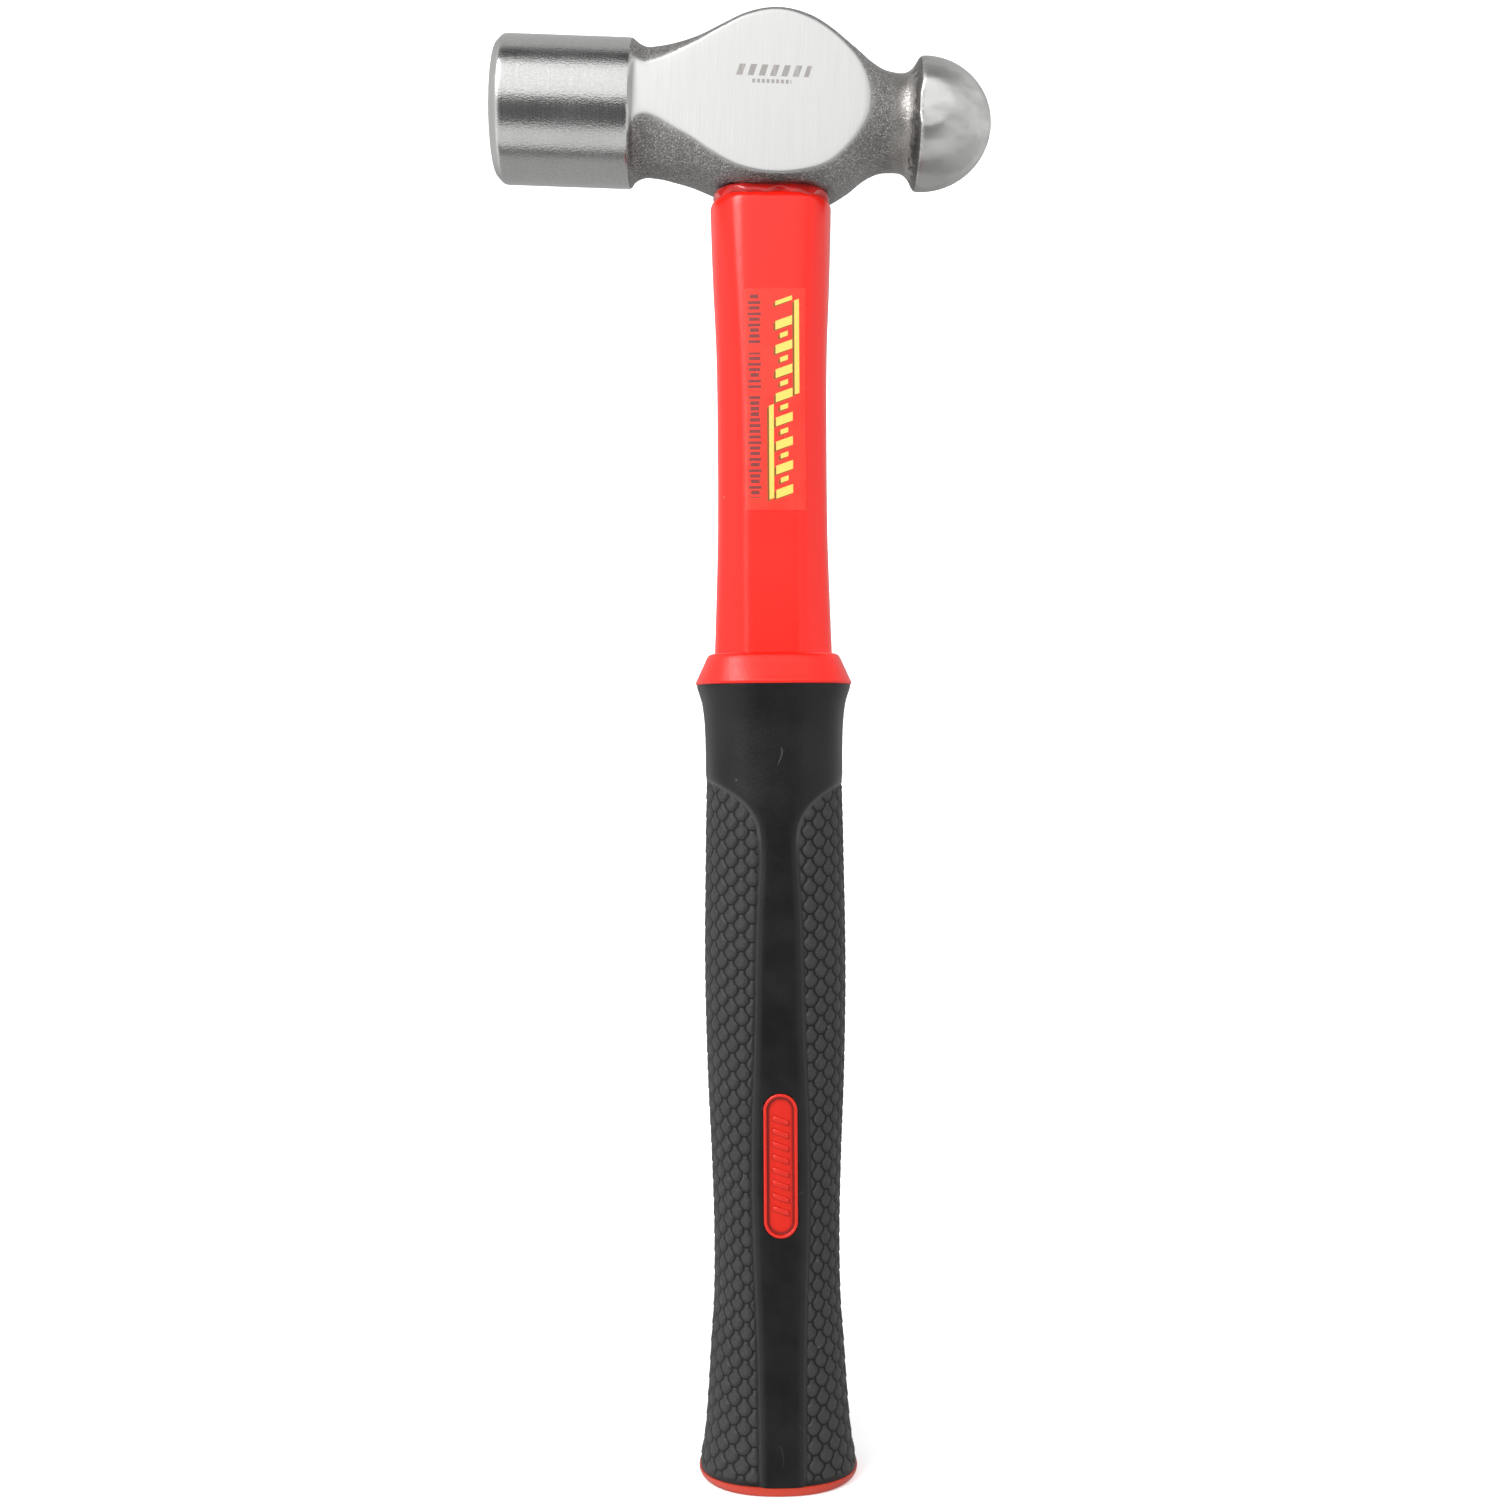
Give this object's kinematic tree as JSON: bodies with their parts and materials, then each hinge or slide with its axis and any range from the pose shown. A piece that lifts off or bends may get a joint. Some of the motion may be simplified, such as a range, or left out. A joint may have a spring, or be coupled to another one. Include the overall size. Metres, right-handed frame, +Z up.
{
  "type": "ball peen hammer",
  "caption": "Ball peen hammer: forged steel head with ground cheeks, red-jacketed fibreglass shaft, flared collar and black rubber grip.",
  "frame": {"origin": "centre of the flat under the butt cap, on the handle's centre line", "axes": "+Z up the handle towards the head, -X towards the striking face, +X towards the ball peen, -Y out of the front cheek"},
  "size_m": [0.1186, 0.0342, 0.3439],
  "materials": {
    "head_steel": "forged grey with ground and turned bright faces",
    "fibreglass": "pultruded rod, satin",
    "epoxy": "cast resin, glossy",
    "red_shell": "moulded, satin gloss",
    "label_film": "thin printed film",
    "grip_rubber": "matt with moulded scale texture",
    "badge_red": "moulded, satin"
  },
  "bodies": {
    "root": {"hammer_head": "head_steel", "fibreglass_core": "fibreglass", "eye_epoxy": "epoxy", "epoxy_bead": "epoxy", "shaft_jacket": "red_shell", "shaft_label": "label_film", "grip_collar": "red_shell", "grip_sleeve": "red_shell", "rubber_grip": "grip_rubber", "badge_front": "badge_red", "badge_back": "badge_red", "butt_cap": "red_shell"}
  },
  "joints": []
}
